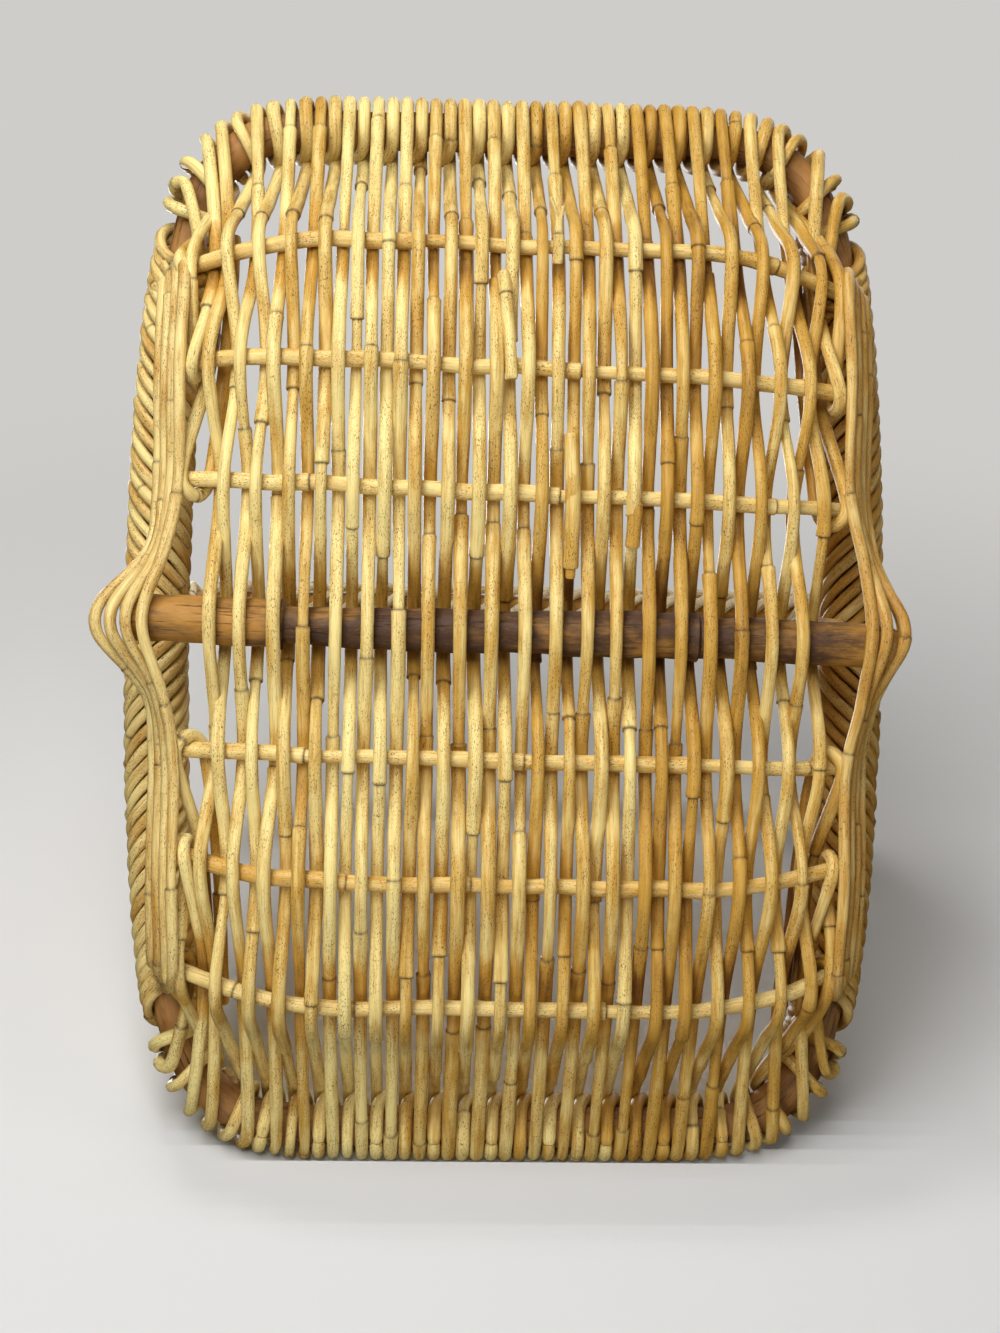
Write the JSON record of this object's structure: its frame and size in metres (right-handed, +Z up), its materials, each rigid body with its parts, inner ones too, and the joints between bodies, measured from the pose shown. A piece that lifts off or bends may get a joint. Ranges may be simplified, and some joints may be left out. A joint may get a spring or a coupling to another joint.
{
  "type": "gathering basket",
  "caption": "Shallow oblong basket of peeled canes woven over ribs and a thick stick, with a bent stick rim, open sides and a tall arched rope-wound handle.",
  "frame": {"origin": "under the middle of the base, on the surface that the basket stands on", "axes": "+X along the length of the basket, +Y across its width along the thick stick, +Z up towards the handle"},
  "size_m": [0.5808, 0.4397, 0.3451],
  "materials": {
    "rim_stick": "peeled and aged",
    "thick_stick": "bark",
    "ribs": "peeled",
    "base_canes": "peeled",
    "side_canes": "peeled",
    "rim_canes": "peeled",
    "handle_stick": "peeled",
    "handle_canes": "peeled"
  },
  "bodies": {
    "root": {"rim_hoop": "rim_stick", "centre_stick": "thick_stick", "rib_1": "ribs", "rib_2": "ribs", "rib_3": "ribs", "rib_4": "ribs", "rib_5": "ribs", "rib_6": "ribs", "base_cane_1": "base_canes", "base_cane_2": "base_canes", "base_cane_3": "base_canes", "base_cane_4": "base_canes", "base_cane_5": "base_canes", "base_cane_6": "base_canes", "base_cane_7": "base_canes", "base_cane_8": "base_canes", "base_cane_9": "base_canes", "base_cane_10": "base_canes", "side_cane_left_1": "side_canes", "side_cane_left_2": "side_canes", "side_cane_left_3": "side_canes", "side_cane_left_4": "side_canes", "side_cane_right_1": "side_canes", "side_cane_right_2": "side_canes", "side_cane_right_3": "side_canes", "side_cane_right_4": "side_canes", "rim_wrap_left_1": "rim_canes", "rim_wrap_left_2": "rim_canes", "rim_wrap_left_3": "rim_canes", "rim_wrap_left_4": "rim_canes", "rim_wrap_left_5": "rim_canes", "rim_wrap_left_6": "rim_canes", "rim_wrap_left_7": "rim_canes", "rim_wrap_left_8": "rim_canes", "rim_wrap_left_9": "rim_canes", "rim_wrap_right_1": "rim_canes", "rim_wrap_right_2": "rim_canes", "rim_wrap_right_3": "rim_canes", "rim_wrap_right_4": "rim_canes", "rim_wrap_right_5": "rim_canes", "rim_wrap_right_6": "rim_canes", "rim_wrap_right_7": "rim_canes", "rim_wrap_right_8": "rim_canes", "rim_wrap_right_9": "rim_canes", "handle_bow": "handle_stick", "handle_wrap_1": "handle_canes", "handle_wrap_2": "handle_canes", "handle_wrap_3": "handle_canes", "handle_wrap_4": "handle_canes"}
  },
  "joints": []
}
